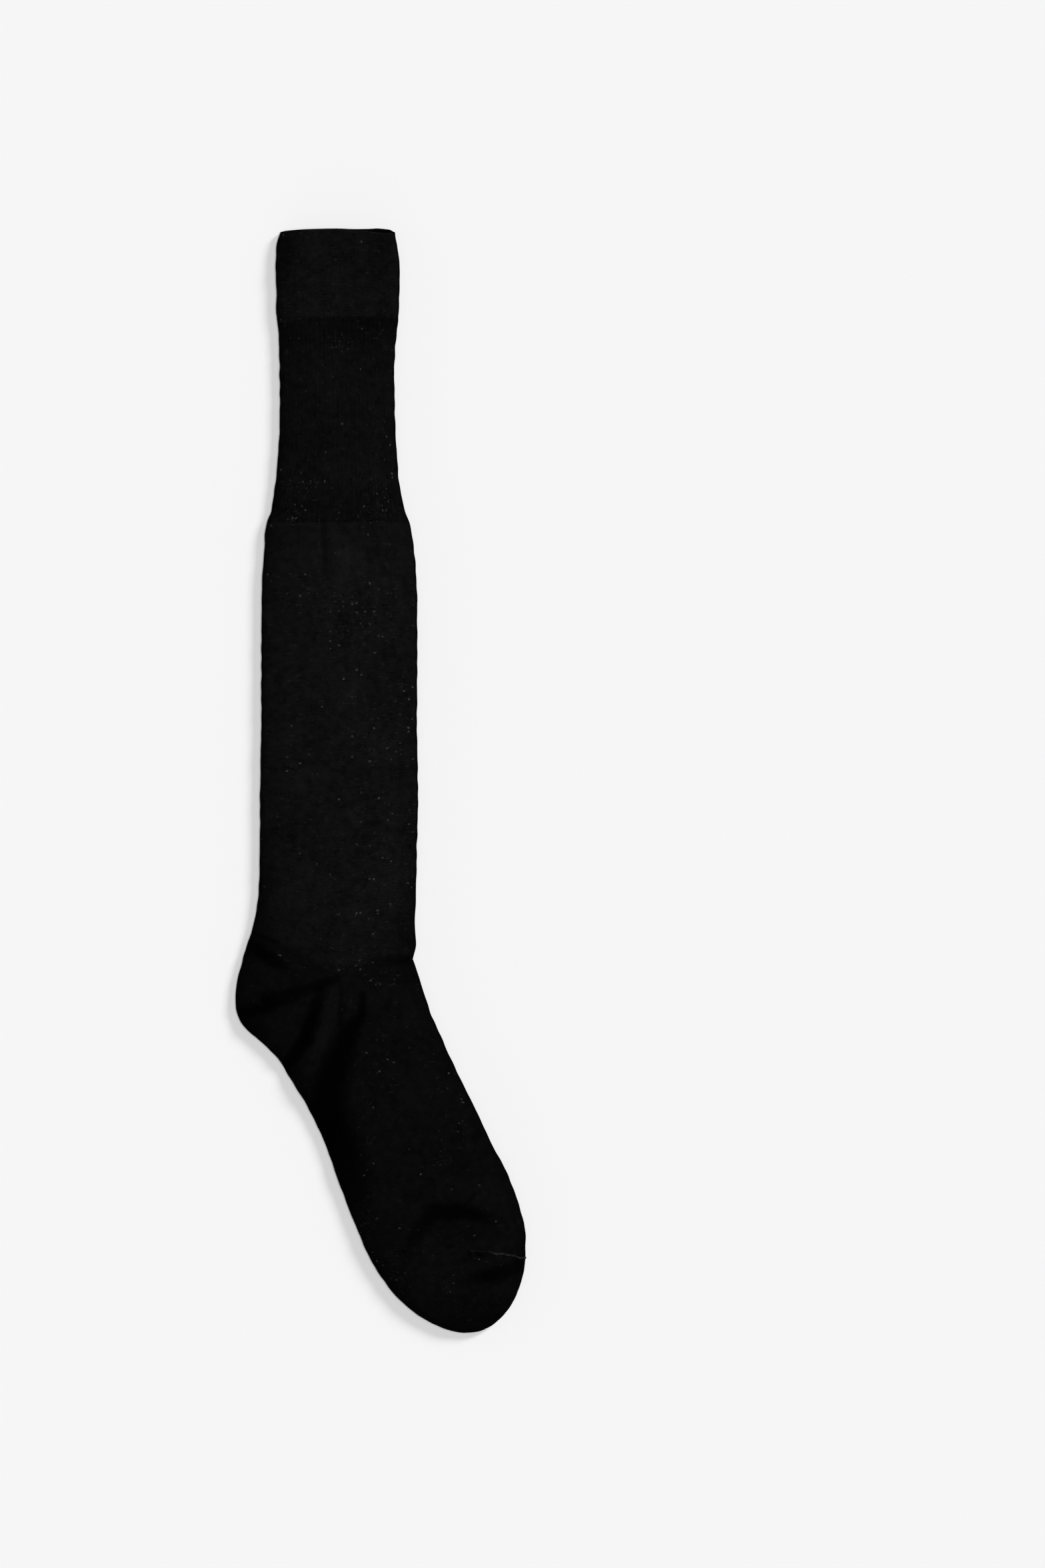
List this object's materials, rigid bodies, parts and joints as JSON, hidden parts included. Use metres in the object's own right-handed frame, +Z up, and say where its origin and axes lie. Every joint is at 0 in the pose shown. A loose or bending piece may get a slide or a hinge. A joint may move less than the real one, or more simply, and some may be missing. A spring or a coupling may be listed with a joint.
{
  "type": "cotton sock",
  "caption": "Knee-length knitted cotton sock with a ribbed garter section, turned heel and seamed toe, lying flat on its side.",
  "frame": {"origin": "middle of the bounding box in X and Y, on the surface that the sock lies on", "axes": "+Y up the leg towards the cuff, +X towards the instep, +Z up from the surface"},
  "size_m": [0.1674, 0.6376, 0.0108],
  "materials": {
    "cuff_knit": "matt doubled cotton knit",
    "garter_knit": "matt narrow-ribbed cotton knit",
    "band_knit": "matt plain cotton knit",
    "calf_knit": "matt plain cotton knit",
    "heel_knit": "matt dense cotton knit",
    "foot_knit": "matt plain cotton knit",
    "toe_seam_knit": "linked seam of lighter thread",
    "toe_knit": "matt dense cotton knit"
  },
  "bodies": {
    "root": {"cuff": "cuff_knit", "garter": "garter_knit", "band": "band_knit", "calf": "calf_knit", "heel": "heel_knit", "foot": "foot_knit", "toe_seam": "toe_seam_knit", "toe": "toe_knit"}
  },
  "joints": []
}
